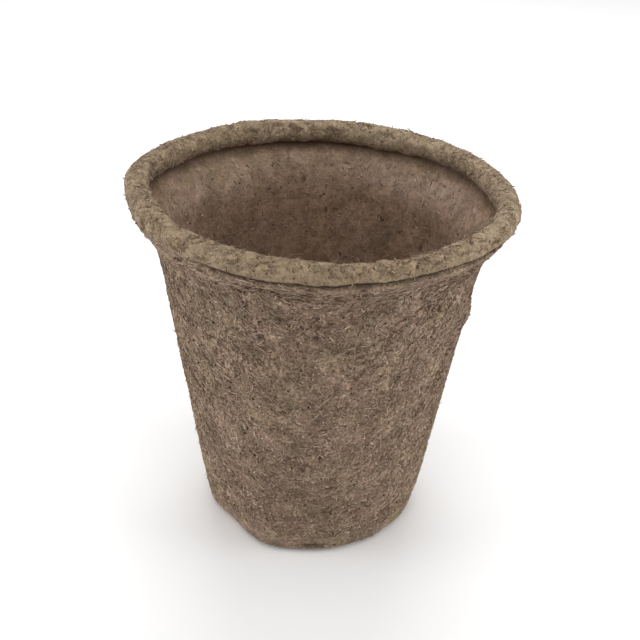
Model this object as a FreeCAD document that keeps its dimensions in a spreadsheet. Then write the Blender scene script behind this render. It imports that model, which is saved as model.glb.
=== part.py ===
import FreeCAD
import Part
import math
import os

import Sketcher

# Round peat pot, moulded from felted peat and wood fibre. Millimetres, +Z up.
# The origin is the middle of the base, on the surface that the pot stands on.
# The pot is one felted skin. It is modelled as the zones that its mould forms,
# each its own solid, which meet face to face:
#   base_floor   the floor, with its rounded edge turned up and its drain hole
#   side_wall    the tapered wall, which flares near the top into a collar; the
#                collar stands upright under the roll and ends in a thin lip
#   rolled_rim   the rim rolled over that lip

# Driving dimensions, each written once
DRIVING = {
    # whole pot
    "pot_height": 80.0,
    "rim_diameter": 80.0,
    "foot_diameter": 48.2,  # outside of the wall, carried down to the ground
    # side wall
    "wall_thickness": 2.2,  # measured level, across the wall
    "flare_height": 9.3,  # from the shoulder, where the flare starts, to the lip's top
    "flare_spread": 2.2,  # how far the flare carries the lip past the straight wall
    "shoulder_bend_radius": 8.0,  # outside, where the wall turns out into the flare
    "collar_height": 3.1,  # the upright end of the wall, up to the lip's top
    "collar_bend_radius": 2.0,  # outside, where the flare turns up into the collar
    "lip_thickness": 1.4,
    # rolled rim
    "roll_thickness": 5.0,
    "lip_inset": 0.4,  # the lip's middle lies this much nearer the axis than the roll's
    "lip_drop": 0.2,  # the lip's top lies this much below the roll's middle
    # base floor
    "floor_thickness": 2.4,
    "pan_edge_height": 2.4,  # how far the floor's edge turns up before the wall begins
    "foot_edge_radius": 3.6,
    "inner_corner_radius": 1.6,
    "hollow_depth": 0.8,  # the floor's middle stands clear of the ground by this
    "hollow_diameter": 30.0,  # inner edge of the ring that the pot stands on
    "hollow_slope_width": 2.0,
    "drain_hole_diameter": 8.0,
}

# What follows from them
DERIVED = {
    "foot_radius": "=foot_diameter / 2",
    "roll_radius": "=(rim_diameter - roll_thickness) / 2",
    "roll_height": "=pot_height - roll_thickness / 2",
    "lip_outer_radius": "=roll_radius - lip_inset + lip_thickness / 2",
    "lip_inner_radius": "=lip_outer_radius - lip_thickness",
    "lip_height": "=roll_height - lip_drop",
    "taper_share": "=(lip_outer_radius - flare_spread - foot_radius) / lip_height",
    "shoulder_height": "=lip_height - flare_height",
    "collar_foot": "=lip_height - collar_height",
    "shoulder_outer_radius": "=foot_radius + taper_share * shoulder_height",
    "shoulder_inner_radius": "=shoulder_outer_radius - wall_thickness",
    "shoulder_inner_bend": "=shoulder_bend_radius + wall_thickness",
    "collar_inner_bend": "=collar_bend_radius - lip_thickness",
    "floor_top": "=hollow_depth + floor_thickness",
    "floor_inner_radius": "=foot_radius + taper_share * floor_top - wall_thickness",
    "pan_height": "=floor_top + pan_edge_height",
    "pan_outer_radius": "=foot_radius + taper_share * pan_height",
    "pan_inner_radius": "=pan_outer_radius - wall_thickness",
    "hollow_radius": "=hollow_diameter / 2",
    "hollow_flat_radius": "=hollow_radius - hollow_slope_width",
}

FULL_TURN = 360.0
SMALL = 1e-6  # lengths closer than this are the same
SMALL_SHARE = 1e-6

doc = FreeCAD.newDocument("peat_pot")
sheet = doc.addObject("Spreadsheet::Sheet", "Sizes")
for row, (alias, content) in enumerate({**DRIVING, **DERIVED}.items(), start=1):
    sheet.set(f"A{row}", alias)
    sheet.set(f"B{row}", str(content))
    sheet.setAlias(f"B{row}", alias)
doc.recompute()


def size(alias):
    """A dimension, read from the sheet."""
    return float(sheet.get(alias))


def point_of(radius_alias, height_alias):
    """A corner of a section: its radius and its height above the ground."""
    radius = size(radius_alias) if radius_alias else 0
    height = size(height_alias) if height_alias else 0
    return FreeCAD.Vector(radius, height, 0)


def new_body(label):
    body = doc.addObject("PartDesign::Body", label)
    body.Label = label
    return body


def new_sketch(body, name, role):
    """An empty sketch on one of its own body's origin planes."""
    plane = next(item for item in body.Origin.OriginFeatures if item.Role == role)
    sketch = body.newObject("Sketcher::SketchObject", name)
    sketch.AttachmentSupport = [(plane, "")]
    sketch.MapMode = "FlatFace"
    return sketch


def bind(sketch, constraint, name, alias):
    """Adds a constraint whose value follows a cell of the sheet."""
    index = sketch.addConstraint(constraint)
    sketch.renameConstraint(index, name)
    sketch.setExpression(f"Constraints.{name}", f"Sizes.{alias}")


def pin_down(sketch, edge, end, radius_alias, height_alias):
    """Ties one end of an edge to a radius and a height; no alias means zero."""
    name = f"edge_{edge}_end_{end}"
    for kind, alias, axis in (("DistanceX", radius_alias, -2), ("DistanceY", height_alias, -1)):
        if alias:
            constraint = Sketcher.Constraint(kind, -1, 1, edge, end, size(alias))
            bind(sketch, constraint, f"{name}_{kind[-1].lower()}", alias)
        else:
            sketch.addConstraint(Sketcher.Constraint("PointOnObject", edge, end, axis))


def turn_section(body, section_name, corners, name):
    """Turns a closed section about the axis. Its corners are given in order, each
    by the sheet's names for its radius and its height."""
    sketch = new_sketch(body, section_name, "XZ_Plane")
    points = [point_of(*corner) for corner in corners]
    edges = [
        sketch.addGeometry(Part.LineSegment(start, end))
        for start, end in zip(points, points[1:] + points[:1])
    ]
    for edge, following in zip(edges, edges[1:] + edges[:1]):
        sketch.addConstraint(Sketcher.Constraint("Coincident", edge, 2, following, 1))
    for edge, corner in zip(edges, corners):
        pin_down(sketch, edge, 1, *corner)
    return revolve(body, sketch, name)


def revolve(body, sketch, name):
    feature = body.newObject("PartDesign::Revolution", name)
    feature.Profile = sketch
    feature.ReferenceAxis = (sketch, ["V_Axis"])
    feature.Angle = FULL_TURN
    doc.recompute()
    return feature


def round_edge(body, name, base, corner, radius_alias):
    """Fillets the edge of a turned feature that a corner of its section draws."""
    found = []
    for number, edge in enumerate(base.Shape.Edges, start=1):
        curve = edge.Curve
        if isinstance(curve, Part.Circle):
            if abs(curve.Radius - corner.x) < SMALL and abs(curve.Center.z - corner.y) < SMALL:
                found.append(f"Edge{number}")
    if len(found) != 1:
        raise RuntimeError(f"{name}: {len(found)} edges found instead of one")
    fillet = body.newObject("PartDesign::Fillet", name)
    fillet.Base = (base, found)
    fillet.setExpression("Radius", f"Sizes.{radius_alias}")
    doc.recompute()
    return fillet


def make_side_wall():
    """The straight taper, the flare and the collar, up to the lip in the roll."""
    body = new_body("side_wall")
    corners = [
        ("pan_outer_radius", "pan_height"),
        ("shoulder_outer_radius", "shoulder_height"),
        ("lip_outer_radius", "collar_foot"),
        ("lip_outer_radius", "lip_height"),
        ("lip_inner_radius", "lip_height"),
        ("lip_inner_radius", "collar_foot"),
        ("shoulder_inner_radius", "shoulder_height"),
        ("pan_inner_radius", "pan_height"),
    ]
    bends = {
        "shoulder_outside": (corners[1], "shoulder_bend_radius"),
        "collar_outside": (corners[2], "collar_bend_radius"),
        "collar_inside": (corners[5], "collar_inner_bend"),
        "shoulder_inside": (corners[6], "shoulder_inner_bend"),
    }
    feature = turn_section(body, "wall_section", corners, "wall_turned")
    for name, (corner, radius_alias) in bends.items():
        feature = round_edge(body, name, feature, point_of(*corner), radius_alias)
    return body


def make_base_floor():
    """The floor and its turned-up edge, which carries the wall."""
    body = new_body("base_floor")
    corners = [
        (None, "hollow_depth"),
        ("hollow_flat_radius", "hollow_depth"),
        ("hollow_radius", None),
        ("foot_radius", None),
        ("pan_outer_radius", "pan_height"),
        ("pan_inner_radius", "pan_height"),
        ("floor_inner_radius", "floor_top"),
        (None, "floor_top"),
    ]
    turned = turn_section(body, "floor_section", corners, "floor_turned")
    foot_corner = point_of("foot_radius", None)
    floor_corner = point_of("floor_inner_radius", "floor_top")
    outer = round_edge(body, "foot_edge", turned, foot_corner, "foot_edge_radius")
    inner = round_edge(body, "inner_corner", outer, floor_corner, "inner_corner_radius")
    cut_drain_hole(body, inner)
    return body


def cut_drain_hole(body, base):
    """The hole in the middle of the floor, cut up from the ground."""
    sketch = new_sketch(body, "drain_hole_outline", "XY_Plane")
    radius = size("drain_hole_diameter") / 2
    circle = Part.Circle(FreeCAD.Vector(0, 0, 0), FreeCAD.Vector(0, 0, 1), radius)
    outline = sketch.addGeometry(circle)
    sketch.addConstraint(Sketcher.Constraint("Coincident", outline, 3, -1, 1))
    diameter = Sketcher.Constraint("Diameter", outline, 2 * radius)
    bind(sketch, diameter, "hole_diameter", "drain_hole_diameter")
    uncut_volume = base.Shape.Volume
    hole = body.newObject("PartDesign::Pocket", "drain_hole")
    hole.Profile = sketch
    hole.Type = "ThroughAll"
    hole.Reversed = True
    doc.recompute()
    core_volume = math.pi * radius**2 * size("floor_thickness")
    if abs(uncut_volume - hole.Shape.Volume - core_volume) > core_volume * SMALL_SHARE:
        raise RuntimeError("the drain hole did not go through the floor")


def make_rolled_rim(wall):
    """A round roll of felt all along the mouth, less the lip that it grips."""
    roll = new_body("roll_before_lip")
    sketch = new_sketch(roll, "roll_section", "XZ_Plane")
    middle = point_of("roll_radius", "roll_height")
    circle = Part.Circle(middle, FreeCAD.Vector(0, 0, 1), size("roll_thickness") / 2)
    outline = sketch.addGeometry(circle)
    pin_down(sketch, outline, 3, "roll_radius", "roll_height")
    diameter = Sketcher.Constraint("Diameter", outline, size("roll_thickness"))
    bind(sketch, diameter, "roll_across", "roll_thickness")
    revolve(roll, sketch, "roll_turned")

    rim = doc.addObject("Part::Cut", "rolled_rim")
    rim.Label = "rolled_rim"
    rim.Base = roll
    rim.Tool = wall
    return rim


base_floor = make_base_floor()
side_wall = make_side_wall()
rolled_rim = make_rolled_rim(side_wall)
doc.recompute()

sub_parts = [base_floor, side_wall, rolled_rim]
for item in doc.Objects:
    if "Invalid" in item.State or "Error" in item.State:
        raise RuntimeError(f"{item.Label} failed: {item.State}")
for item in sub_parts:
    if item.Shape.isNull() or not item.Shape.isValid() or len(item.Shape.Solids) != 1:
        raise RuntimeError(f"{item.Label} is not one sound solid")

os.makedirs("parts", exist_ok=True)
for item in sub_parts:
    item.Shape.exportStep(f"parts/{item.Label}.step")
    print(f"{item.Label}: {item.Shape.Volume:.0f} cubic mm, {len(item.Shape.Faces)} faces")
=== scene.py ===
"""Pressed peat pot: felt skin, rolled rim, loose fibres, and a plain soft-lit stage.

Everything is in metres, in the frame that is loaded below. +Z is up along the
pot's axis, and azimuths are in degrees from +X, so the viewer stands at -90.
"""

import math
import random

import bmesh
import bpy
import numpy as np
from bpy.props import FloatProperty, FloatVectorProperty, IntProperty, PointerProperty
from mathutils import Matrix, Vector, noise
from mathutils.bvhtree import BVHTree
from mathutils.geometry import normal as face_normal


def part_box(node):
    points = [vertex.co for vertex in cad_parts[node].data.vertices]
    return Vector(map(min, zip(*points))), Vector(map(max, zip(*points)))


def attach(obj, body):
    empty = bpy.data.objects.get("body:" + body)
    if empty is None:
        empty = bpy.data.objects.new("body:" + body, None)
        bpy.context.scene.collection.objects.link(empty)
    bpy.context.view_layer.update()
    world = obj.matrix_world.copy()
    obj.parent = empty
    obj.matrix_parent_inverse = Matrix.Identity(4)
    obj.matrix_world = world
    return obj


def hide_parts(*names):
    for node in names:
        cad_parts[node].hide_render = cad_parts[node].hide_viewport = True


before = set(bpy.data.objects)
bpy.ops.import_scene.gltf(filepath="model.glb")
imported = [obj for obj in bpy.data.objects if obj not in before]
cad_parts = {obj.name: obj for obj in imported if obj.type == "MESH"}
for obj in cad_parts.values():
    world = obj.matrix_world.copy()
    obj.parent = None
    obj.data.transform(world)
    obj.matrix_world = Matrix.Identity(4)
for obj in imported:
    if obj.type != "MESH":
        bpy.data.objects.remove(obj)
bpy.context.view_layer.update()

bl_info = {
    "name": "Peat Pot",
    "version": (1, 0, 0),
    "blender": (4, 5, 0),
    "location": "3D View > Sidebar > Peat Pot",
    "description": "Builds a round pot of pressed peat and wood fibre",
    "category": "Object",
}

MM = 0.001
SECTORS = 16  # a power of two
MERGE = 1e-7  # points closer than this become one
UP = Vector((0, 0, 1))
BAKE_MAP = "OFBake"  # the map that the colours are kept on
# Painted shade: how strongly pits, cracks, the crease, the groove and the roll's underside are
# darkened
PAINTED_SHADE_LAYER = "painted_shade_depth"
RIM_LOW, RIM_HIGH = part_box("rolled_rim")
WALL_LOW, WALL_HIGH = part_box("side_wall")
FLOOR_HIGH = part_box("base_floor")[1]

# Steps along the sections in mm, of a plain guide and of a detailed skin
OUTSIDE_STEPS = (1.2, 0.58)
INSIDE_STEPS = (2.4, 1.25)
FLOOR_STEPS = (1.2, 0.55)
ROLL_POINTS = (24, 56)  # points round the roll's section
BEND_POINTS = 8

# Relief of the felt: the size and height of lumps and grain, and the size, depth
# and share of holes
WALL_LUMPS = (9.0 * MM, 0.28 * MM)
FLOOR_LUMPS = (9.0 * MM, 0.25 * MM)
FELT_LUMPS = (3.0 * MM, 0.12 * MM)
FELT_GRAIN = (1.0 * MM, 0.12 * MM)
WALL_HOLES = (1.5 * MM, 0.4 * MM, 0.38)
FLOOR_HOLES = (1.5 * MM, 0.35 * MM, 0.36)
ROLL_WAVES = (14.0 * MM, 0.45 * MM)
ROLL_LUMPS = (4.5 * MM, 0.3 * MM)
ROLL_WRINKLES = (2.4 * MM, 0.2 * MM)
ROLL_GRAIN = (0.9 * MM, 0.1 * MM)
ROLL_HOLES = (1.3 * MM, 0.32 * MM, 0.36)
LUMP_SEED, FELT_SEED, WAVE_SEED, WRINKLE_SEED = 3, 11, 31, 41
INSIDE_RELIEF = 0.55  # the mould leaves the inside this much as rough
SEAM = 2.0 * MM  # the relief fades out this near the joint of wall and floor
HIDDEN = 1.2 * MM  # and this near the lip, which the roll hides

# The whole pot: how much the rim rises for each metre to the right and away,
# and how many mm it has moved to the left
RIM_RISE_X, RIM_RISE_Y = -0.009, 0.003
RIM_DRIFT = 0.166
SWAY_START, SWAY_RISE = 40.0, 38.0  # mm: where the sway starts, and grows over

# The crease under the roll outside and the groove under it inside, in mm. The
# crease is sharp at the front and fades out to the sides. Both are also darkened
# with painted shade, the crease by the last number in the next row.
CREASE_FOOT, CREASE_FADE, CREASE_DEPTH, CREASE_SHADE = 75.9, 0.5, 0.4, 0.9
CREASE_AZIMUTH, CREASE_HALF, CREASE_SIDE_FADE = -70.0, 62.0, 14.0
GROOVE_MIDDLE, GROOVE_HALF, GROOVE_DEPTH = 74.9, 2.4, 0.35
# the groove is also darkened with painted shade by these shares, most at the back
GROOVE_FRONT, GROOVE_BACK = 0.45, 0.55  # its share all round, and more at the back
BACK_AZIMUTH, BACK_HALF = 95.0, 120.0
FLAP_EDGE = 0.5  # a flap of the wall stands off fully this far above its edge
# The roll's underside is pressed in over that crease, and darkened there with
# painted shade: degrees round the roll from its outermost line, and mm.
UNDER_START, UNDER_FADE, UNDER_END, UNDER_DEPTH = -3.0, 22.0, -120.0, 0.5

# The felt's texture: lines are (scale, offset, width), and mottle (scale, offset)
FIBRE_TONE = (0.62, 0.55, 0.43, 1.0)  # of the fine lines
PATCH_SCALE, GRAIN_SCALE = 120.0, 1700.0
LINES = ((520.0, 0.0, 0.022), (760.0, 0.37, 0.03))
MOTTLE = ((460.0, 0.61), (150.0, 0.97))

# Fibres
SIDES = 4  # of a strand
GIRTHS = {4: (0.0, 1.0, 0.85, 0.0), 5: (0.0, 1.0, 1.05, 0.8, 0.0)}  # by its points
JITTER = 0.2  # mm that a fibre starts away from its face's middle
LOWEST = 0.15 * MM  # nothing reaches below the foot
PATCH_OLIVE, FOOT_OLIVE = 0.45, 0.42  # more olive in patches and towards the foot
FOOT_PALE = 0.16  # and paler towards the foot
TIP_DARK, TIP_TURN = -0.06, 0.015  # no ring of a strand has its neighbour's tone
SIDE_OLIVE = (0.0, 0.012, 0.024, 0.012)

# Painted light: the roll is made paler to the right and at the back, where more
# light falls, from the first to the second length in mm along that way
LIT_SIDE = (0.7, 0.5, 0.0)
LIT_START, LIT_END = -6.0, 18.0

# How the pot has gone out of round as it dried. Each row: azimuth, half width
# in degrees, then millimetres outwards and upwards at the rim.
RIM_SWAY = (
    (-90, 70, 0, -0.6),
    (-28, 40, 0.8, 0.1),
    (-10, 24, 0.5, 0),
    (44, 14, 0.2, 0),
    (64, 16, -0.6, 0),
    (172, 24, 0.9, 0.1),
    (-158, 20, -0.5, 0),
    (-140, 30, -0.2, 0.2),
    (-52, 22, 0.2, 0.3),
    (95, 40, 0, -0.1),
)

# Dents and swellings of the wall's outside. Each row: azimuth, height in mm,
# half width in degrees, half height in mm, millimetres outwards.
WALL_SWELLS = (
    (-170, 66, 34, 9, 0.2),
    (-172, 71, 32, 5.5, 1),
    (-5, 61, 34, 10, -1.15),
    (-14, 72, 32, 4.5, -0.8),
    (-164, 76.2, 26, 3.4, 2),
    (-138, 76, 26, 3.3, 1.8),
    (-112, 75.6, 26, 3.2, 1.5),
    (-86, 75.6, 26, 3.2, 1.55),
    (-60, 75.6, 26, 3.2, 1.6),
    (-34, 76, 26, 2.4, 1.5),
    (-8, 76.2, 26, 2, 0.8),
    (-120, 30, 24, 22, 0.25),
    (-60, 44, 20, 18, -0.25),
    (-95, 56, 22, 12, 0.2),
    (60, 40, 40, 24, 0.3),
    (140, 50, 30, 20, -0.25),
)

# Flaps of felt whose lower edge stands off the wall. Each row: azimuth, height of
# the edge in mm, half width in degrees, fade upwards in mm, millimetres outwards.
WALL_FLAPS = (
    (-13, 53.8, 20, 9, 1.1),
    (-24, 47.4, 8, 4, 0.5),
    (-54, 66, 11, 4.5, 0.4),
    (-118, 74, 20, 3, 0.25),
    (150, 60, 14, 9, 0.6),
    (62, 52, 12, 7, 0.5),
)

# Pits and cracks that are large enough to see from a step away. Each row:
# azimuth, height in mm, length, width in mm, slant in degrees, depth in mm.
WALL_PITS = (
    (-113.4, 68, 4.4, 0.8, -71, 0.9),
    (-125.6, 55.8, 1.8, 0.9, -50, 0.8),
    (-89.8, 62, 1.6, 1.2, 20, 0.9),
    (-52, 65.6, 6, 0.7, -24, 0.6),
    (-107, 73.6, 9, 0.6, -3, 0.5),
    (-123.6, 74.7, 2.4, 1.1, 5, 0.9),
    (-122.3, 73, 1.6, 1, -30, 0.9),
    (-118.5, 72.6, 1.8, 1, 20, 0.8),
    (-115.6, 71.5, 1.6, 1, -40, 0.8),
    (-133, 73.4, 1.6, 0.9, -30, 0.8),
    (-139, 74.6, 1.4, 0.9, 40, 0.7),
    (-128, 68.6, 1.6, 0.9, 70, 0.7),
    (-99, 30, 1.8, 0.7, 10, 0.6),
    (-92, 31, 1.4, 0.9, 60, 0.6),
    (-106, 24, 2.4, 0.7, -35, 0.6),
    (-86, 38, 1.2, 0.9, 40, 0.6),
    (-74, 52, 1.6, 0.7, 25, 0.6),
    (-140, 66, 2, 0.7, 70, 0.6),
    (-132, 48, 1.5, 0.8, 80, 0.6),
    (-58, 28, 1.7, 0.8, -20, 0.6),
    (-45, 55, 2.2, 0.7, 55, 0.7),
    (30, 50, 2.2, 0.8, 40, 0.7),
    (75, 30, 1.8, 0.8, -30, 0.6),
    (110, 62, 2.4, 0.7, 15, 0.7),
    (165, 35, 2, 0.8, -60, 0.6),
)
INSIDE_PITS = (
    (98, 67, 1.3, 1.2, 0, 0.8),
    (120, 58, 1.4, 1, 40, 0.6),
    (76, 52, 1.6, 0.9, 20, 0.6),
    (88, 60, 1.2, 0.8, 70, 0.5),
    (62, 62, 1.2, 1, 0, 0.5),
    (110, 47, 1.6, 0.9, -30, 0.6),
    (135, 64, 1.5, 1, 15, 0.6),
    (40, 56, 1.6, 0.9, -50, 0.6),
    (85, 44, 1.4, 0.8, 10, 0.5),
    (-60, 50, 1.8, 0.9, 30, 0.6),
    (-140, 40, 1.6, 0.9, -20, 0.6),
)
FOOT_PITS = (
    (-88, 2.7, 9, 1, 2, 0.7),
    (-66, 2.2, 3, 0.8, 12, 0.5),
    (-122, 2.4, 3.4, 0.8, -8, 0.5),
    (40, 2.4, 5, 0.9, 0, 0.6),
    (160, 2.6, 4, 0.9, 6, 0.6),
)

# The foot's outline has flats and corners, which fade out up the wall and
# towards the floor's middle. Each row: azimuth, half width in degrees,
# millimetres outwards.
FOOT_SWAY_TOP, FOOT_SWAY_FADE = 17, 14.0
FOOT_SWAY_RADIUS, FOOT_SWAY_GROWTH = 16, 5.0
FOOT_SWAY = (
    (-141, 22, -1.3),
    (-112, 16, 0.6),
    (-86, 18, -0.4),
    (-64, 20, -0.7),
    (-42, 16, -0.6),
    (-20, 26, -0.4),
    (60, 30, 0.3),
    (130, 26, -0.5),
)

# Short folds of the roll's felt. Each row: azimuth, degrees round the roll from
# its outermost line up, length and width in mm, slant in degrees, depth in mm.
ROLL_FOLDS = (
    (-66, 70, 4, 0.7, 35, 0.4),
    (-63, 45, 3.2, 0.6, 60, 0.4),
    (-60, 62, 2.6, 0.6, -30, 0.4),
    (-57, 30, 3.4, 0.6, 20, 0.35),
    (-104, 52, 3.4, 0.6, 40, 0.35),
    (-102, 40, 2.6, 0.6, -35, 0.35),
    (-138, 18, 4.6, 0.8, -50, 0.5),
    (-142, 40, 3.4, 0.7, -60, 0.45),
    (-131, -8, 3.4, 1.1, -16, 0.7),
    (-148, -4, 1.6, 1.1, 0, 0.6),
    (-40, 58, 3, 0.6, 10, 0.35),
    (-35, 22, 4, 0.7, 8, 0.4),
    (-85, 20, 3, 0.6, 4, 0.3),
    (-78, 66, 2.6, 0.6, 80, 0.3),
    (10, 50, 4, 0.7, 30, 0.4),
    (60, 70, 4, 0.7, -30, 0.4),
    (120, 50, 4, 0.7, 20, 0.4),
    (170, 30, 5, 0.8, -20, 0.45),
    (178, 165, 3, 1, 0, 0.5),
    (-174.7, 160, 1.5, 1.3, 0, 0.7),
    (169, 155, 2.6, 1.6, 20, 0.7),
    (-152, 60, 4, 0.6, 70, 0.35),
    (-160, 40, 3.6, 0.6, 80, 0.35),
    (-124, 70, 3, 0.6, 50, 0.35),
    (-113, 30, 3, 0.6, 10, 0.3),
    (-95, 64, 2.6, 0.6, -20, 0.3),
    (-71, 28, 3.6, 0.6, -12, 0.35),
    (-48, 34, 3.6, 0.6, 16, 0.35),
    (-44, 74, 3, 0.6, 60, 0.35),
    (-28, 52, 3, 0.6, 40, 0.35),
    (-20, 76, 3.4, 0.6, -50, 0.35),
    (-12, 26, 4, 0.7, 10, 0.4),
    (108, 128, 3, 1.6, 20, 0.6),
    (101, 150, 4, 1.2, -10, 0.5),
    (96, 118, 2.2, 1.2, 60, 0.5),
    (86, 160, 7, 1.4, 0, 0.6),
    (73, 112, 3, 1, -20, 0.5),
    (66, 140, 3.4, 1.2, 15, 0.5),
    (118, 150, 4, 1.2, 8, 0.5),
    (126, 112, 2.6, 1, 50, 0.5),
)


def length_property(name, description, length):
    return FloatProperty(name=name, description=description, default=length, unit="LENGTH")


def steps_property(name, description, steps):
    return IntProperty(name=name, description=description, default=steps, min=64)


def angle_property(name, description, degrees):
    turn = math.radians(degrees)
    return FloatProperty(name=name, description=description, default=turn, subtype="ANGLE")


def power_property(name, power):
    return FloatProperty(name=name, description="Power in watts", default=power)


class PotSizes(bpy.types.PropertyGroup):
    """Sizes of the pressed skin"""

    roll_thickness: length_property(
        "Roll thickness", "Thickness of the roll round the mouth", RIM_HIGH.z - RIM_LOW.z
    )
    roll_radius: length_property(
        "Roll radius",
        "From the pot's axis to the middle of the roll",
        RIM_HIGH.x - (RIM_HIGH.z - RIM_LOW.z) / 2,
    )
    wall_thickness: length_property(
        "Wall thickness", "Thickness of the wall below the flare", 2.2 * MM
    )
    lip_thickness: length_property(
        "Lip thickness", "Thickness of the wall's upper edge, inside the roll", 1.4 * MM
    )
    flare_height: length_property(
        "Flare height", "From the bend where the wall turns out up to the lip's top", 9.3 * MM
    )
    flare_spread: length_property(
        "Flare spread", "How far the lip stands out past the wall's taper", 2.2 * MM
    )
    shoulder_bend: length_property(
        "Shoulder bend", "Radius of the bend where the wall turns out into the flare", 8.0 * MM
    )
    collar_height: length_property(
        "Collar height", "Upright end of the wall, under and inside the roll", 3.1 * MM
    )
    collar_bend: length_property(
        "Collar bend", "Radius of the bend where the flare turns up into the collar", 2.0 * MM
    )
    foot_radius: length_property(
        "Foot radius", "Radius to which the wall's taper runs down at the base", 24.1 * MM
    )
    foot_edge_radius: length_property(
        "Foot edge radius", "Rounding of the foot's lower edge", 3.6 * MM
    )
    floor_thickness: length_property("Floor thickness", "Thickness of the floor", 2.4 * MM)
    inner_corner_radius: length_property(
        "Inner corner radius", "Rounding between the floor and the wall, inside", 1.6 * MM
    )
    hollow_depth: length_property("Hollow depth", "How far the underside is raised", 0.8 * MM)
    hollow_radius: length_property("Hollow radius", "Radius of the raised underside", 15.0 * MM)
    hollow_slope: length_property(
        "Hollow slope", "Width of the slope up into the raised underside", 2.0 * MM
    )
    drain_radius: length_property(
        "Drain hole radius", "Radius of the drain hole in the floor", 4.0 * MM
    )
    wall_steps: steps_property("Steps round", "Faces round the wall and the floor", 512)
    roll_steps: steps_property("Steps round the roll", "Faces round the roll's length", 768)


def colour_property(name, description, red, green, blue):
    """A colour that the panel shows, from the 0 to 255 values of a colour chart"""
    return FloatVectorProperty(
        name=name,
        description=description,
        subtype="COLOR",
        size=3,
        min=0.0,
        max=1.0,
        default=tuple(linear(v / 255) for v in (red, green, blue)),
    )


def linear(value):
    """A display value from 0 to 1 as light"""
    if value <= 0.04045:
        return value / 12.92
    return ((value + 0.055) / 1.055) ** 2.4


class PotColours(bpy.types.PropertyGroup):
    """Colours of the felt and its fibres"""

    wall_mauve: colour_property("Wall, mauve", "Mauve-brown patches of the wall", 128, 106, 90)
    wall_olive: colour_property("Wall, olive", "Olive-tan patches of the wall", 127, 109, 88)
    inside_mauve: colour_property(
        "Inside, mauve", "Mauve-brown patches of the inside", 140, 115, 97
    )
    inside_olive: colour_property("Inside, olive", "Olive-tan patches of the inside", 129, 106, 85)
    rim_tan: colour_property("Rim, tan", "Main colour of the roll", 136, 119, 95)
    rim_rose: colour_property("Rim, rose", "Rosy patches on the roll", 138, 119, 95)
    # Painted shade: the dark brown that pits, cracks, the crease, the groove and the roll's
    # underside are mixed towards
    pit_shade_brown: colour_property("Pits", "Peat that shows in pits and cracks", 52, 33, 20)
    fibre_dark: colour_property("Dark fibres", "Peat-stained fibres", 68, 50, 38)
    fibre_taupe: colour_property("Taupe fibres", "Most fibres", 151, 128, 109)
    fibre_straw: colour_property("Straw fibres", "Palest fibres", 202, 182, 160)
    fibre_peat: colour_property("Olive dark fibres", "Dark olive fibres", 68, 52, 37)
    fibre_olive: colour_property("Olive fibres", "Olive-tan fibres", 149, 128, 105)
    fibre_gold: colour_property("Golden fibres", "Yellowest fibres", 198, 179, 152)
    floor_white: colour_property("Floor", "The pale floor", 246, 246, 246)


class StageSettings(bpy.types.PropertyGroup):
    """Camera and lights"""

    elevation: angle_property("Elevation", "Camera's height above the horizon", 29.433)
    roll: angle_property("Roll", "Camera's tilt about its own axis", 2.216)
    distance: length_property("Distance", "From the camera to the point it aims at", 0.22817)
    aim: FloatVectorProperty(
        name="Aim",
        description="Point that the camera looks at",
        subtype="XYZ",
        unit="LENGTH",
        default=(0.000555, 0.0, 0.046784),
    )
    lens: FloatProperty(name="Lens", description="Focal length in millimetres", default=57.9)
    sky: FloatProperty(
        name="Surrounding light",
        description="Strength of the even light from all round",
        default=0.38,
    )
    top_light: power_property("Top light", 3.1)
    left_light: power_property("Left light", 3.0)
    right_light: power_property("Right light", 3.05)
    back_light: power_property("Back light", 4.2)
    front_light: power_property("Front light", 1.1)


def signed_gap(angles, centre):
    """Degrees from a centre to each angle, the short way round"""
    return (angles - centre + 180.0) % 360.0 - 180.0


def gap_between(angles, centre):
    return np.abs(signed_gap(angles, centre))


def eased(share):
    """0 up to 0 and 1 from 1 on, with a smooth rise between"""
    share = np.clip(share, 0.0, 1.0)
    return share * share * (3.0 - 2.0 * share)


def swell(gap, half_width):
    """1 at no gap, falling smoothly to 0 at the half width"""
    return eased(1.0 - gap / half_width)


def dent(across, rise, length, width, slant, wave=0.0):
    """1 in the middle of a slanted oval dent, falling to 0 past its edge. Its
    middle line may wave."""
    turn = math.radians(slant)
    run = across * math.cos(turn) + rise * math.sin(turn)
    off = rise * math.cos(turn) - across * math.sin(turn)
    off = off + wave * np.sin(run * 1.7)
    reach = np.sqrt((run / (length / 2)) ** 2 + (off / (width / 2)) ** 2)
    return swell(reach, 1.3)


def rough(places, size, seed):
    """Smooth noise from -1 to 1 at each place, with bumps of about that size"""
    offset = Vector((seed * 17.3, seed * 5.9, seed * 11.7))
    share = 1.0 / size
    value = noise.noise
    return np.array([value(Vector(p) * share + offset) for p in places])


def places_of(bm):
    return np.array([v.co for v in bm.verts])


def normals_of(bm):
    return np.array([v.normal for v in bm.verts])


def facing_of(bm, outward):
    """From 1 where a skin faces away from the axis to -1 where it faces it"""
    return np.array([v.normal.dot(Vector(o)) for v, o in zip(bm.verts, outward)])


def put(bm, places):
    for vert, place in zip(bm.verts, places):
        vert.co = place


def azimuths_of(places):
    return np.degrees(np.arctan2(places[:, 1], places[:, 0]))


def outward_of(places):
    """Level unit vectors away from the axis"""
    level = places * (1.0, 1.0, 0.0)
    return level / np.maximum(np.linalg.norm(level, axis=1), 1e-9)[:, None]


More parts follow.
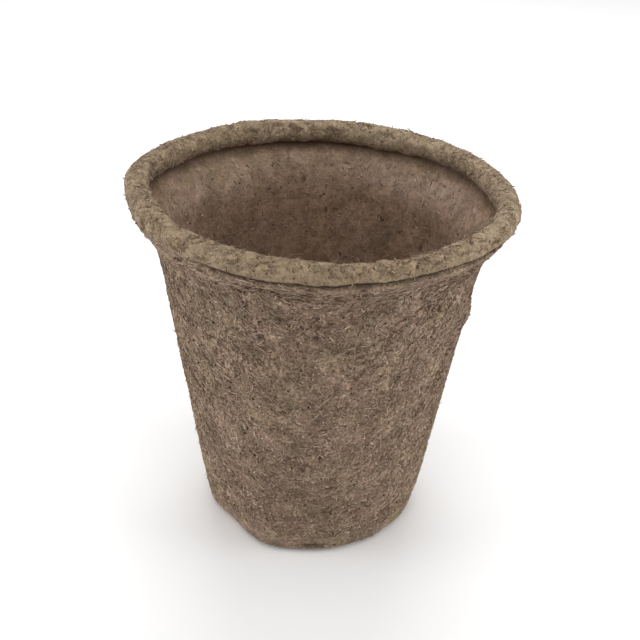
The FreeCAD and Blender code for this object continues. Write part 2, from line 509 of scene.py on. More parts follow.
def settle(places):
    """Leans and sways the pot as it dried, more towards the rim"""
    share = places[:, 2] / RIM_HIGH.z
    x, y = places[:, 0].copy(), places[:, 1].copy()
    azimuths, outward = azimuths_of(places), outward_of(places)
    places = places.copy()
    places[:, 2] += share * (RIM_RISE_X * x + RIM_RISE_Y * y)
    places[:, 0] -= share * RIM_DRIFT * MM
    top = eased((places[:, 2] / MM - SWAY_START) / SWAY_RISE)
    for azimuth, half_width, out, lift in RIM_SWAY:
        weight = swell(gap_between(azimuths, azimuth), half_width) * top
        places += outward * (weight * out * MM)[:, None]
        places[:, 2] += weight * lift * MM
    return places


def settled(bm, lowest=-1.0):
    """A finished skin, leaned and swayed, with no point below a height"""
    places = settle(places_of(bm))
    places[:, 2] = np.maximum(places[:, 2], lowest)
    put(bm, places)
    bm.normal_update()
    return bm


def sway_foot(places):
    """Gives the foot its flats, less and less up the wall"""
    azimuths, outward = azimuths_of(places), outward_of(places)
    radii = np.linalg.norm(places[:, :2], axis=1) / MM
    rim = np.clip((radii - FOOT_SWAY_RADIUS) / FOOT_SWAY_GROWTH, 0.0, 1.0)
    weight = eased((FOOT_SWAY_TOP - places[:, 2] / MM) / FOOT_SWAY_FADE) * rim
    for azimuth, half_width, out in FOOT_SWAY:
        near = swell(gap_between(azimuths, azimuth), half_width)
        places = places + outward * (near * weight * out * MM)[:, None]
    return places


def spun(points, steps):
    """Turns a closed half section of (radius, height) points into a skin. Each
    corner's place on the bake map is the azimuth and the way along the section."""
    bm = bmesh.new()
    along = bm.verts.layers.float.new("along")
    verts = []
    for number, (radius, height) in enumerate(points):
        vert = bm.verts.new((radius, 0.0, height))
        vert[along] = number / len(points)
        verts.append(vert)
    edges = [bm.edges.new(pair) for pair in zip(verts, verts[1:] + verts[:1])]
    # one sector is spun and then doubled up, which is much quicker
    turn = math.tau / SECTORS
    bmesh.ops.spin(
        bm, geom=verts + edges, axis=UP, cent=(0.0, 0.0, 0.0), angle=turn, steps=steps // SECTORS
    )
    while turn < math.tau * 0.9:
        geometry = bm.verts[:] + bm.edges[:] + bm.faces[:]
        copied = bmesh.ops.duplicate(bm, geom=geometry)["geom"]
        bmesh.ops.rotate(
            bm,
            verts=[part for part in copied if isinstance(part, bmesh.types.BMVert)],
            cent=(0.0, 0.0, 0.0),
            matrix=Matrix.Rotation(turn, 3, "Z"),
        )
        turn *= 2.0
    bmesh.ops.remove_doubles(bm, verts=bm.verts, dist=MERGE)
    bmesh.ops.recalc_face_normals(bm, faces=bm.faces)
    bake = bm.loops.layers.uv.new(BAKE_MAP)
    for face in bm.faces:
        face.smooth = True
        turns = [
            (math.atan2(loop.vert.co.y, loop.vert.co.x) / math.tau) % 1.0 for loop in face.loops
        ]
        ways = [loop.vert[along] for loop in face.loops]
        wraps = max(turns) - min(turns) > 0.5
        over = max(ways) - min(ways) > 0.5
        for loop, turn, way in zip(face.loops, turns, ways):
            loop[bake].uv = (
                turn + 1.0 if wraps and turn < 0.5 else turn,
                way + 1.0 if over and way < 0.5 else way,
            )
    bm.normal_update()
    return bm


def spaced(start, end, step):
    """Points from start up to end, without end, about a step apart"""
    start, end = Vector(start), Vector(end)
    count = max(1, round((end - start).length / step))
    return [tuple(start.lerp(end, n / count)) for n in range(count)]


def arc(centre, radius, first, last, step):
    """Points of an arc from the first angle up to the last, without the last"""
    count = max(2, round(abs(last - first) * radius / step))
    turn = (last - first) / count
    return [
        (
            centre[0] + radius * math.cos(first + n * turn),
            centre[1] + radius * math.sin(first + n * turn),
        )
        for n in range(count)
    ]


def taper_line(sizes, inside):
    """Radius of the straight wall's outside, or inside, at each height"""
    top = WALL_HIGH.z
    taper = (WALL_HIGH.x - sizes.flare_spread - sizes.foot_radius) / top
    start = sizes.foot_radius - (sizes.wall_thickness if inside else 0.0)
    return lambda height: start + taper * height


def bent(corners, bends, step):
    """Points a step apart along a line of corners, which are rounded by bends"""
    corners = [Vector(corner) for corner in corners]
    path = [corners[0]]
    for before, corner, after, bend in zip(corners, corners[1:], corners[2:], bends):
        towards, away = (corner - before).normalized(), (after - corner).normalized()
        reach = bend * math.tan(towards.angle(away) / 2)
        start, end = corner - towards * reach, corner + away * reach
        for n in range(BEND_POINTS + 1):
            share = n / BEND_POINTS
            path.append(start.lerp(corner, share).lerp(corner.lerp(end, share), share))
    path.append(corners[-1])
    path = np.array(path)
    pieces = np.linalg.norm(np.diff(path, axis=0), axis=1)
    runs = np.concatenate(([0.0], np.cumsum(pieces)))
    places = np.linspace(0.0, runs[-1], round(runs[-1] / step) + 1)
    radii = np.interp(places, runs, path[:, 0])
    heights = np.interp(places, runs, path[:, 1])
    return list(zip(radii.tolist(), heights.tolist()))


def wall_section(sizes, step_out, step_in):
    """Up the outside, over the lip, down the inside and across the seam below"""
    low, high, lip = WALL_LOW.z, WALL_HIGH.z, WALL_HIGH.x
    shoulder, collar = high - sizes.flare_height, high - sizes.collar_height
    outside, inside = taper_line(sizes, False), taper_line(sizes, True)
    inner_lip = lip - sizes.lip_thickness
    points = bent(
        ((outside(low), low), (outside(shoulder), shoulder), (lip, collar), (lip, high)),
        (sizes.shoulder_bend, sizes.collar_bend),
        step_out,
    )
    points.append(((lip + inner_lip) / 2, high))
    points += bent(
        ((inner_lip, high), (inner_lip, collar), (inside(shoulder), shoulder), (inside(low), low)),
        (sizes.collar_bend - sizes.lip_thickness, sizes.shoulder_bend + sizes.wall_thickness),
        step_in,
    )
    points.append(((outside(low) + inside(low)) / 2, low))
    return points


def floor_section(sizes, step):
    """Round the floor: foot edge, underside, drain hole, floor and corner"""
    top = FLOOR_HIGH.z
    outside, inside = taper_line(sizes, False), taper_line(sizes, True)
    lean = math.atan((outside(top) - outside(0.0)) / top)
    edge = sizes.foot_edge_radius
    # the foot's rounding touches the wall's line and the ground
    edge_radius = outside(0.0) + edge * math.tan(lean) - edge / math.cos(lean)
    ring = (edge_radius, 0.0)
    rise = sizes.hollow_depth
    flat = sizes.hollow_radius - sizes.hollow_slope
    floor_top = rise + sizes.floor_thickness
    corner = sizes.inner_corner_radius
    corner_height = floor_top + corner
    corner_radius = inside(corner_height) - corner / math.cos(lean)
    corner_end = (corner_radius + corner * math.cos(lean), corner_height - corner * math.sin(lean))
    points = arc((edge_radius, edge), edge, -lean, -math.pi / 2, step)
    points += spaced(ring, (sizes.hollow_radius, 0.0), step)
    points += spaced((sizes.hollow_radius, 0.0), (flat, rise), step)
    points += spaced((flat, rise), (sizes.drain_radius, rise), step)
    points += spaced((sizes.drain_radius, rise), (sizes.drain_radius, floor_top), step)
    points += spaced((sizes.drain_radius, floor_top), (corner_radius, floor_top), step)
    points += arc((corner_radius, corner_height), corner, -math.pi / 2, -lean, step)
    points += spaced(corner_end, (inside(top), top), step)
    points += spaced((inside(top), top), (outside(top), top), step)
    points += spaced((outside(top), top), points[0], step)
    return points


def roughen(bm, coarse, fine, pits, seed, keep=None):
    """Raises and lowers a skin along its normals. coarse and fine are (size,
    height) of its lumps and grain, and pits is (size, depth, share). Grain and
    pits get a second layer, about half as large and half as high."""
    bm.normal_update()
    places = places_of(bm)
    normals = normals_of(bm)
    keep = np.ones(len(places)) if keep is None else keep
    height = rough(places, coarse[0], seed) * coarse[1]
    depth = np.zeros(len(places))
    if fine is not None:
        height += rough(places, fine[0], seed + 1) * fine[1]
        height += rough(places, fine[0] * 0.45, seed + 2) * fine[1] * 0.6
    if pits is not None:
        field = rough(places, pits[0], seed + 3) + 0.5 * rough(places, pits[0] * 0.5, seed + 4)
        depth = np.clip((field - (1.0 - pits[2])) / 0.35, 0.0, 1.0)
        height -= depth * pits[1]
    put(bm, places + normals * (height * keep)[:, None])
    return depth


def cut_pits(bm, rows, depth, side=1.0):
    """Presses the named pits into a skin's outside, or its inside with side -1"""
    places = places_of(bm)
    outward = outward_of(places)
    azimuths = azimuths_of(places)
    radii = np.linalg.norm(places[:, :2], axis=1)
    drop = np.zeros(len(places))
    shown = side * facing_of(bm, outward) > 0.2
    for azimuth, height, length, width, slant, sunk in rows:
        across = np.radians(signed_gap(azimuths, azimuth)) * radii / MM
        rise = places[:, 2] / MM - height
        sunken = dent(across, rise, length, width, slant) * shown
        drop += sunken * sunk * MM
        depth = np.maximum(depth, sunken)
    put(bm, places - outward * (side * drop)[:, None])
    return depth


def keep_painted_shade(bm, depth):
    layer = bm.verts.layers.float.new(PAINTED_SHADE_LAYER)
    for vert, value in zip(bm.verts, depth):
        vert[layer] = float(value)


def front_share(azimuths):
    """1 along the sharp part of the crease under the roll, 0 where it fades"""
    gap = gap_between(azimuths, CREASE_AZIMUTH)
    return np.clip((CREASE_HALF - gap) / CREASE_SIDE_FADE, 0.0, 1.0)


def wall_skin(sizes, detailed):
    """The wall's skin, with its fine relief if it is detailed"""
    steps = sizes.wall_steps if detailed else sizes.wall_steps // 2
    outer, inner = OUTSIDE_STEPS[detailed] * MM, INSIDE_STEPS[detailed] * MM
    bm = spun(wall_section(sizes, outer, inner), steps)
    places = places_of(bm)
    azimuths, outward = azimuths_of(places), outward_of(places)
    heights = places[:, 2] / MM
    facing = facing_of(bm, outward)
    outside = facing > 0.0
    shift = np.zeros(len(places))
    for azimuth, height, half_width, half_height, out in WALL_SWELLS:
        near = swell(gap_between(azimuths, azimuth), half_width)
        near = near * swell(np.abs(heights - height), half_height)
        shift += near * out * MM * outside
    for azimuth, height, half_width, fade, out in WALL_FLAPS:
        near = swell(gap_between(azimuths, azimuth), half_width)
        risen = heights - height
        edge = np.clip(risen / FLAP_EDGE, 0.0, 1.0) * np.clip(1.0 - risen / fade, 0.0, 1.0)
        shift += near * edge * out * MM * outside
    crease = np.clip((heights - CREASE_FOOT) / CREASE_FADE, 0.0, 1.0) * outside
    crease *= front_share(azimuths)
    back = swell(gap_between(azimuths, BACK_AZIMUTH), BACK_HALF) ** 0.6
    groove = swell(np.abs(heights - GROOVE_MIDDLE), GROOVE_HALF) * (facing < 0.0)
    groove *= GROOVE_FRONT + GROOVE_BACK * back
    shift += (groove * GROOVE_DEPTH - crease * CREASE_DEPTH) * MM
    put(bm, sway_foot(places + outward * shift[:, None]))
    hidden = np.clip((WALL_HIGH.z - places[:, 2]) / HIDDEN, 0.0, 1.0)
    seam = np.clip((places[:, 2] - WALL_LOW.z) / SEAM, 0.0, 1.0)
    side = np.where(outside, 1.0, INSIDE_RELIEF)
    roughen(bm, WALL_LUMPS, None, None, LUMP_SEED, side * seam)
    if detailed:
        keep = side * hidden * seam
        depth = roughen(bm, FELT_LUMPS, FELT_GRAIN, WALL_HOLES, FELT_SEED, keep)
        depth = cut_pits(bm, WALL_PITS, depth * outside)
        depth = cut_pits(bm, INSIDE_PITS, depth, -1.0)
        # the crease and the groove are darkened with painted shade, along with the pits
        keep_painted_shade(bm, np.clip(depth + crease * CREASE_SHADE + groove, 0.0, 1.0))
    return settled(bm)


def floor_skin(sizes, detailed):
    """The floor's skin, with its fine relief if it is detailed"""
    steps = sizes.wall_steps if detailed else sizes.wall_steps // 2
    bm = spun(floor_section(sizes, FLOOR_STEPS[detailed] * MM), steps)
    places = places_of(bm)
    seam = np.clip((FLOOR_HIGH.z - places[:, 2]) / SEAM, 0.0, 1.0)
    put(bm, sway_foot(places))
    roughen(bm, FLOOR_LUMPS, None, None, LUMP_SEED, seam)
    if detailed:
        depth = roughen(bm, FELT_LUMPS, FELT_GRAIN, FLOOR_HOLES, FELT_SEED, seam)
        # the floor's pits are darkened with painted shade
        keep_painted_shade(bm, cut_pits(bm, FOOT_PITS, depth))
    return settled(bm, 0.0)


def fold_roll(bm, middle):
    """Presses the roll's short folds into it"""
    places = places_of(bm)
    normals = normals_of(bm)
    radii = np.linalg.norm(places[:, :2], axis=1)
    turned = np.degrees(np.arctan2(places[:, 2] - middle.y, radii - middle.x))
    girth = np.hypot(places[:, 2] - middle.y, radii - middle.x)
    azimuths = azimuths_of(places)
    depth = np.zeros(len(places))
    for azimuth, height, length, width, slant, sunk in ROLL_FOLDS:
        across = np.radians(signed_gap(azimuths, azimuth)) * radii / MM
        rise = np.radians(signed_gap(turned, height)) * girth / MM
        sunken = dent(across, rise, length, width, slant, 0.25)
        places -= normals * (sunken * sunk * MM)[:, None]
        depth = np.maximum(depth, sunken * 0.7)
    put(bm, places)
    return depth


def roll_skin(sizes, detailed):
    """The roll: lumpy and uneven, with wrinkles and folds if it is detailed. Its
    underside is pressed in along the crease and darkened there with painted shade."""
    thickness = sizes.roll_thickness / 2
    middle = Vector((sizes.roll_radius, RIM_HIGH.z - thickness))
    turns = [math.tau * n / ROLL_POINTS[detailed] for n in range(ROLL_POINTS[detailed])]
    points = [
        (middle.x + thickness * math.cos(turn), middle.y + thickness * math.sin(turn))
        for turn in turns
    ]
    bm = spun(points, sizes.roll_steps if detailed else sizes.roll_steps // 2)
    roughen(bm, ROLL_WAVES, ROLL_LUMPS, None, WAVE_SEED)
    if detailed:
        depth = roughen(bm, ROLL_WRINKLES, ROLL_GRAIN, ROLL_HOLES, WRINKLE_SEED)
        depth = np.maximum(depth, fold_roll(bm, middle))
        places = places_of(bm)
        level = np.linalg.norm(places[:, :2], axis=1) - middle.x
        turned = np.degrees(np.arctan2(places[:, 2] - middle.y, level))
        under = np.clip((UNDER_START - turned) / UNDER_FADE, 0.0, 1.0) ** 2
        under *= (turned > UNDER_END) * front_share(azimuths_of(places))
        normals = normals_of(bm)
        put(bm, places - normals * (under * UNDER_DEPTH * MM)[:, None])
        # the roll's holes, folds and underside carry painted shade
        keep_painted_shade(bm, np.maximum(depth * 0.65, under))
    return settled(bm)


def add_node(tree, kind, inputs=None, **settings):
    """A shader node with its settings, and its inputs set or linked"""
    made = tree.nodes.new(kind)
    for key, value in settings.items():
        setattr(made, key, value)
    for key, value in (inputs or {}).items():
        if isinstance(value, bpy.types.NodeSocket):
            tree.links.new(value, made.inputs[key])
        else:
            made.inputs[key].default_value = value
    return made


def sum_of(tree, kind, first, second):
    return add_node(tree, "ShaderNodeMath", {0: first, 1: second}, operation=kind).outputs[0]


def times(tree, first, second):
    return sum_of(tree, "MULTIPLY", first, second)


def ranged(tree, value, low, high, to_low=0.0, to_high=1.0):
    return add_node(
        tree,
        "ShaderNodeMapRange",
        {0: value, 1: low, 2: high, 3: to_low, 4: to_high},
        interpolation_type="SMOOTHSTEP",
    ).outputs[0]


def mixed(tree, share, first, second, blend="MIX"):
    """A mix of two colours. The 6 and 7 are the colour inputs of a Mix node."""
    return add_node(
        tree, "ShaderNodeMix", {0: share, 6: first, 7: second}, data_type="RGBA", blend_type=blend
    ).outputs[2]


def new_material(name, roughness):
    material = bpy.data.materials.new(name)
    material.use_nodes = True
    tree = material.node_tree
    shader = tree.nodes["Principled BSDF"]
    shader.inputs["Roughness"].default_value = roughness
    shader.inputs["Specular IOR Level"].default_value = 0.12
    shader.inputs["Sheen Weight"].default_value = 0.05
    shader.inputs["Sheen Roughness"].default_value = 0.5
    return material, tree, shader


def rgba(colour):
    return (*colour, 1.0)


def felt_material(name, tones, mat, shaded_holes, bump, contrast, mottle, painted_light=None, light_ways=()):
    """Pressed felt: patches of two tones, a tangle of fine fibre lines, grain, dark
    specks of painted shade in tiny holes, and the third tone as painted shade in the
    pits, cracks, crease and groove. mat is how strongly the tangle shows, contrast
    how strongly the grain does, and mottle how uneven the felt is. Where painted light
    is wanted the colour is scaled by its factor: each of the ways is a direction and
    the lengths along it over which that painted light rises."""
    material, tree, shader = new_material(name, 0.95)
    place = add_node(tree, "ShaderNodeTexCoord").outputs["Object"]

    def cloud(scale, detail, distortion=0.0, offset=0.0):
        shift = {0: place, 1: (offset, offset, offset)}
        moved = add_node(tree, "ShaderNodeVectorMath", shift, operation="ADD").outputs[0]
        look = {"Vector": moved, "Scale": scale, "Detail": detail, "Distortion": distortion}
        return add_node(tree, "ShaderNodeTexNoise", look).outputs["Fac"]

    def lines(scale, offset, width):
        """Thin curved lines, where the noise passes its middle value"""
        away = sum_of(tree, "SUBTRACT", cloud(scale, 1.5, 0.9, offset), 0.5)
        return ranged(tree, sum_of(tree, "ABSOLUTE", away, 0.0), 0.0, width, 1.0, 0.0)

    patches = ranged(tree, cloud(PATCH_SCALE, 3.0), 0.4, 0.6)
    colour = mixed(tree, patches, rgba(tones[0]), rgba(tones[1]))
    tangle = sum_of(tree, "MAXIMUM", *[lines(*row) for row in LINES])
    grain = cloud(GRAIN_SCALE, 4.0, 0.0, 0.11)
    colour = mixed(tree, times(tree, tangle, mat), colour, FIBRE_TONE)
    shade = ranged(tree, grain, 0.3, 0.7, 1.0 - contrast, 1.0 + contrast)
    colour = mixed(tree, 1.0, colour, shade, "MULTIPLY")
    for (scale, offset), share in zip(MOTTLE, mottle):
        uneven = cloud(scale, 2.5, 0.3, offset)
        shade = ranged(tree, uneven, 0.34, 0.66, 1.0 - share, 1.0 + share)
        colour = mixed(tree, 1.0, colour, shade, "MULTIPLY")
    # painted light: the colour is scaled up along the given ways, where more light falls
    lit_share = 1.0
    for way, start, end in light_ways:
        along = add_node(
            tree, "ShaderNodeVectorMath", {0: place, 1: way}, operation="DOT_PRODUCT"
        ).outputs["Value"]
        lit_share = times(tree, ranged(tree, along, start * MM, end * MM), lit_share)
    if light_ways:
        colour = mixed(tree, lit_share, colour, mixed(tree, 1.0, colour, painted_light, "MULTIPLY"))
    # painted shade of tiny holes: small dark specks lie in groups, and larger ones anywhere
    small = ranged(tree, cloud(1900.0, 2.0, 0.0, 0.21), 0.28, 0.38, 1.0, 0.0)
    groups = ranged(tree, cloud(210.0, 2.0, 0.0, 0.83), 0.38, 0.6, 0.25, 1.0)
    large = ranged(tree, cloud(620.0, 2.0, 0.3, 0.53), 0.25, 0.31, 1.0, 0.0)
    shaded_hole = sum_of(tree, "MAXIMUM", times(tree, small, groups), large)
    # painted shade: pits, cracks, the crease, the groove and the roll's underside are darkened
    # towards the third tone
    sunk = add_node(tree, "ShaderNodeAttribute", attribute_name=PAINTED_SHADE_LAYER).outputs["Fac"]
    dark = sum_of(tree, "MAXIMUM", times(tree, shaded_hole, shaded_holes), times(tree, sunk, 0.95))
    tree.links.new(mixed(tree, dark, colour, rgba(tones[2])), shader.inputs["Base Color"])
    height = sum_of(tree, "ADD", times(tree, tangle, 0.5), times(tree, grain, 0.6))
    height = sum_of(tree, "SUBTRACT", height, times(tree, shaded_hole, 0.8 * shaded_holes))
    relief = {"Height": height, "Strength": bump, "Distance": 0.3 * MM}
    bumps = add_node(tree, "ShaderNodeBump", relief)
    tree.links.new(bumps.outputs[0], shader.inputs["Normal"])
    return material


def fibre_material(colours):
    """Fibres: u on the map is how pale a fibre is, and v how olive"""
    material, tree, shader = new_material("plant_fibre", 0.8)
    spot = add_node(tree, "ShaderNodeUVMap", uv_map=BAKE_MAP).outputs[0]
    split = add_node(tree, "ShaderNodeSeparateXYZ", {0: spot})
    pale, olive = split.outputs[0], split.outputs[1]

    def tones(dark, middle, light):
        ramp = add_node(tree, "ShaderNodeValToRGB", {0: pale})
        stops = ramp.color_ramp.elements
        stops[0].position, stops[0].color = 0.0, rgba(dark)
        stops[1].position, stops[1].color = 1.0, rgba(light)
        stops.new(0.5).color = rgba(middle)
        return ramp.outputs[0]

    mauve = tones(colours.fibre_dark, colours.fibre_taupe, colours.fibre_straw)
    gold = tones(colours.fibre_peat, colours.fibre_olive, colours.fibre_gold)
    tree.links.new(mixed(tree, olive, mauve, gold), shader.inputs["Base Color"])
    return material


def shared(name, make):
    return bpy.data.materials.get(name) or make()


def new_piece(name, bm, materials, slot, *nodes):
    """Turns a mesh into a piece that stands for those nodes"""
    mesh = bpy.data.meshes.new(name)
    bm.to_mesh(mesh)
    bm.free()
    piece = bpy.data.objects.new(name, mesh)
    bpy.context.scene.collection.objects.link(piece)
    for material in materials:
        mesh.materials.append(material)
    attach(piece, "root")
    if nodes:
        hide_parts(*nodes)
    return piece


def guide_faces(bm):
    """A skin's points, and its faces in an order that is the same each run"""
    bm.verts.index_update()
    rings = []
    for face in bm.faces:
        ring = [vert.index for vert in face.verts]
        lowest = ring.index(min(ring))
        rings.append(ring[lowest:] + ring[:lowest])
    return [vert.co.copy() for vert in bm.verts], sorted(rings)


def first_faces(places, rings, wanted):
    """Where fibres may start: middle and normal of each wanted face"""
    starts = []
    for ring in rings:
        corners = [places[index] for index in ring]
        middle = sum(corners, Vector()) / len(corners)
        up = face_normal(corners)
        if wanted(middle, up):
            starts.append((middle, up))
    return starts


def fibre_path(tree, start, normal, angle, length, bend, points, lift, sink, free):
    """Points of a fibre that follows the skin. Its ends are sunk in it, or one
    end of a free fibre stands off it."""
    step = length / (points - 1)
    place, up, path = start, normal, []
    for number in range(points):
        east = UP.cross(up)
        if east.length < 0.3:
            east = UP.cross(Vector((place.x, place.y, 0.0)))
        east.normalize()
        north = up.cross(east)
        share = number / (points - 1)
        rise = share if free else math.sin(math.pi * share)
        spot = place + up * (lift * rise - sink * (1.0 - rise))
        spot.z = max(spot.z, LOWEST)
        path.append(spot)
        ahead = east * math.cos(angle) + north * math.sin(angle)
        angle += bend
        found, found_up = tree.find_nearest(place + ahead * step)[:2]
        if found is None:
            raise RuntimeError("a fibre has left its skin")
        place, up = found, found_up
    return path


def tone_of(rng, style, middle):
    """How pale and how olive a fibre is, by its own draws and by where it lies: in
    a pale or olive patch, towards the foot, or on the side that painted light makes paler"""
    pale = style["pale"](rng)
    patch = noise.noise(middle / (8.0 * MM))
    low = 0.5 - middle.z / RIM_HIGH.z
    olive = 0.5 + PATCH_OLIVE * patch + style["olive"]
    olive = olive + rng.gauss(0.0, 0.08) + FOOT_OLIVE * low
    shade = noise.noise(middle / (5.0 * MM) + Vector((31.0, 7.0, 0.0)))
    lit_share = (middle.dot(Vector(LIT_SIDE)) / MM - LIT_START) / (LIT_END - LIT_START)
    pale += style["patchy"] * shade
    # painted light: paler on the lit side
    pale += style["painted_light"] * min(max(lit_share, 0.0), 1.0)
    pale += FOOT_PALE * low
    return min(max(pale, 0.0), 1.0), min(max(olive, 0.02), 0.95)


def lay_fibres(name, bm, wanted, count, style, colours, seed, slot):
    """Lays fibres on a skin, each a strand that tapers to both ends"""
    rng = random.Random(seed)
    places, rings = guide_faces(bm)
    bm.free()
    starts = first_faces(places, rings, wanted)
    tree = BVHTree.FromPolygons(places, rings)
    points = style["points"]
    girth = np.array(GIRTHS[points])
    curve = bpy.data.curves.new(name, "CURVE")
    curve.dimensions = "3D"
    curve.bevel_depth = MM
    curve.bevel_resolution = 0
    tones = []
    for _ in range(count):
        middle, normal = rng.choice(starts)
        angle = style["angle"](rng, middle)
        growth = style["longest"] / style["shortest"]
        length = style["shortest"] * growth ** (rng.random() ** style["bias"]) * MM
        bend = rng.gauss(0.0, style["bend"])
        jitter = Vector((rng.gauss(0, 1), rng.gauss(0, 1), rng.gauss(0, 1))) * JITTER * MM
        lift, sink = rng.uniform(*style["lift"]) * MM, style["sink"] * MM
        free = style.get("free", False)
        start = middle + jitter
        path = fibre_path(tree, start, normal, angle, length, bend, points, lift, sink, free)
        thick = rng.uniform(*style["thick"]) / 2
        spline = curve.splines.new("POLY")
        spline.points.add(points - 1)
        flat = [value for place in path for value in (*place, 1.0)]
        spline.points.foreach_set("co", flat)
        spline.points.foreach_set("radius", girth * thick)
        tones.append(tone_of(rng, style, middle))
    return strands_from(name, curve, tones, points, colours, slot)


def strands_from(name, curve, tones, points, colours, slot):
    """Turns the curve into a mesh with closed tips, one tone to a strand"""
    carrier = bpy.data.objects.new(name, curve)
    bpy.context.scene.collection.objects.link(carrier)
    shown = carrier.evaluated_get(bpy.context.evaluated_depsgraph_get())
    mesh = bpy.data.meshes.new_from_object(shown)
    bpy.data.objects.remove(carrier)
    bpy.data.curves.remove(curve)
    if len(mesh.vertices) != len(tones) * points * SIDES:
        raise RuntimeError(f"{name}: a strand is missing")
    mesh.uv_layers[0].name = BAKE_MAP
    corners = np.zeros(len(mesh.loops), dtype=np.int32)
    mesh.loops.foreach_get("vertex_index", corners)
    strand = corners // (points * SIDES)
    ring = corners % (points * SIDES) // SIDES
    side = corners % SIDES
    tone = np.array(tones)
    ends = np.linspace(-1.0, 1.0, points)
    shade = TIP_DARK * np.abs(ends) ** 3 + TIP_TURN * ends
    u = np.clip(tone[strand, 0] + shade[ring], 0.001, 0.999)
    v = tone[strand, 1] + np.array(SIDE_OLIVE)[side]
    mesh.uv_layers[0].data.foreach_set("uv", np.stack((u, v), 1).ravel())
    bm = bmesh.new()
    bm.from_mesh(mesh)
    bpy.data.meshes.remove(mesh)
    bmesh.ops.remove_doubles(bm, verts=bm.verts, dist=MERGE)
    for face in bm.faces:
        face.smooth = True
    bmesh.ops.recalc_face_normals(bm, faces=bm.faces)
    fibre = shared("plant_fibre", lambda: fibre_material(colours))
    return new_piece(name, bm, [fibre], slot)


def outward_face(middle, normal):
    level = Vector((middle.x, middle.y, 0.0)).normalized()
    return normal.dot(level) > 0.4


def outside_below(top, bottom=-1.0):
    """Tells faces of the outside between two heights in mm"""

    def wanted(middle, normal):
        return bottom * MM <= middle.z < top * MM and outward_face(middle, normal)

    return wanted


def above(height, inner_height=None):
    """Tells faces above a height in mm, and above another where they face inwards"""
    inner = height if inner_height is None else inner_height

    def wanted(middle, normal):
        return middle.z > (height if outward_face(middle, normal) else inner) * MM

    return wanted


def on_left_fold(middle, normal):
    """On the torn felt under the roll, at the front left"""
    azimuth = math.degrees(math.atan2(middle.y, middle.x))
    under_roll = 71.0 * MM < middle.z < 76.3 * MM
    return outward_face(middle, normal) and under_roll and abs(azimuth + 126.0) < 28.0


def inside_wall(middle, normal):
    level = Vector((middle.x, middle.y, 0.0)).normalized()
    return normal.dot(level) < -0.4 and 6.0 * MM < middle.z < 72.0 * MM


def on_floor(middle, normal):
    return middle.z < 5.4 * MM


def level_angle(rng, middle):
    return rng.gauss(0.0, 0.35)


def any_angle(rng, middle):
    return rng.uniform(0.0, math.tau)


def wall_angle(rng, middle):
    """Every way, but mostly level just under the roll"""
    under_roll = min(max((middle.z / MM - 70.0) / 4.0, 0.0), 1.0)
    if rng.random() < 0.7 * under_roll:
        return rng.gauss(0.0, 0.25)
    return rng.uniform(0.0, math.tau)


def even(low, high):
    """Draws how pale a fibre is, evenly between two values"""
    return lambda rng: rng.uniform(low, high)


def uneven(dark_share, dark, usual_share, usual, highest, light):
    """Draws how pale a fibre is: dark up to one share of the draws, usual up to the
    next, else light. usual is a mean and its spread, dark and light are ranges."""

    def pale(rng):
        draw = rng.random()
        if draw < dark_share:
            return rng.uniform(*dark)
        if draw < usual_share:
            return min(max(rng.gauss(*usual), 0.1), highest)
        return rng.uniform(*light)

    return pale


# Lengths, lifts and thicknesses of fibres in mm, and how they are turned and toned
WALL_STYLE = {
    "angle": wall_angle,
    "points": 4,
    "shortest": 0.6,
    "longest": 2.8,
    "bias": 1.2,
    "bend": 0.08,
    "lift": (0.02, 0.3),
    "sink": 0.14,
    "thick": (0.13, 0.28),
    "pale": uneven(0.3, (0.12, 0.34), 0.94, (0.49, 0.09), 0.8, (0.62, 0.9)),
    "olive": -0.15,
    "patchy": 0.24,
    "painted_light": 0.0,
}
LONG_STYLE = dict(
    WALL_STYLE, points=5, shortest=2.5, longest=7.0, bend=0.1, lift=(0.1, 0.35), thick=(0.1, 0.2)
)
FOLD_STYLE = dict(
    LONG_STYLE, angle=level_angle, shortest=1.4, longest=4.5, lift=(0.2, 0.6), pale=even(0.55, 0.9)
)
CHIP_STYLE = dict(
    WALL_STYLE,
    angle=any_angle,
    shortest=0.7,
    longest=1.8,
    bend=0.1,
    lift=(-0.02, 0.12),
    thick=(0.28, 0.46),
    pale=even(0.55, 0.9),
)
CRUMB_STYLE = dict(
    WALL_STYLE,
    angle=any_angle,
    shortest=0.35,
    longest=0.9,
    bend=0.0,
    lift=(0.12, 0.26),
    thick=(0.24, 0.46),
    pale=even(-0.2, 0.02),
)
STRAY_STYLE = dict(
    WALL_STYLE,
    angle=any_angle,
    shortest=1.2,
    longest=2.8,
    bend=0.25,
    lift=(0.3, 1.0),
    thick=(0.1, 0.18),
    free=True,
)
RIM_STYLE = dict(
    WALL_STYLE,
    angle=any_angle,
    longest=2.4,
    lift=(0.0, 0.14),
    sink=0.1,
    thick=(0.08, 0.17),
    pale=uneven(0.18, (0.12, 0.34), 0.97, (0.47, 0.06), 0.75, (0.6, 0.85)),
    olive=0.45,
    patchy=0.08,
    # painted light: the roll's fibres are paler on the lit side
    painted_light=0.08,
)
RIM_CRUMB_STYLE = dict(CRUMB_STYLE, lift=(0.04, 0.14), thick=(0.2, 0.32))
RIM_STRAY_STYLE = dict(
    STRAY_STYLE, shortest=0.7, longest=2.0, lift=(0.25, 0.75), thick=(0.13, 0.28)
)
INSIDE_STYLE = dict(
    WALL_STYLE,
    angle=any_angle,
    longest=2.4,
    lift=(0.0, 0.12),
    sink=0.08,
    thick=(0.12, 0.26),
    pale=uneven(0.14, (0.03, 0.25), 0.92, (0.45, 0.12), 0.75, (0.7, 0.97)),
    olive=-0.05,
    patchy=0.16,
)


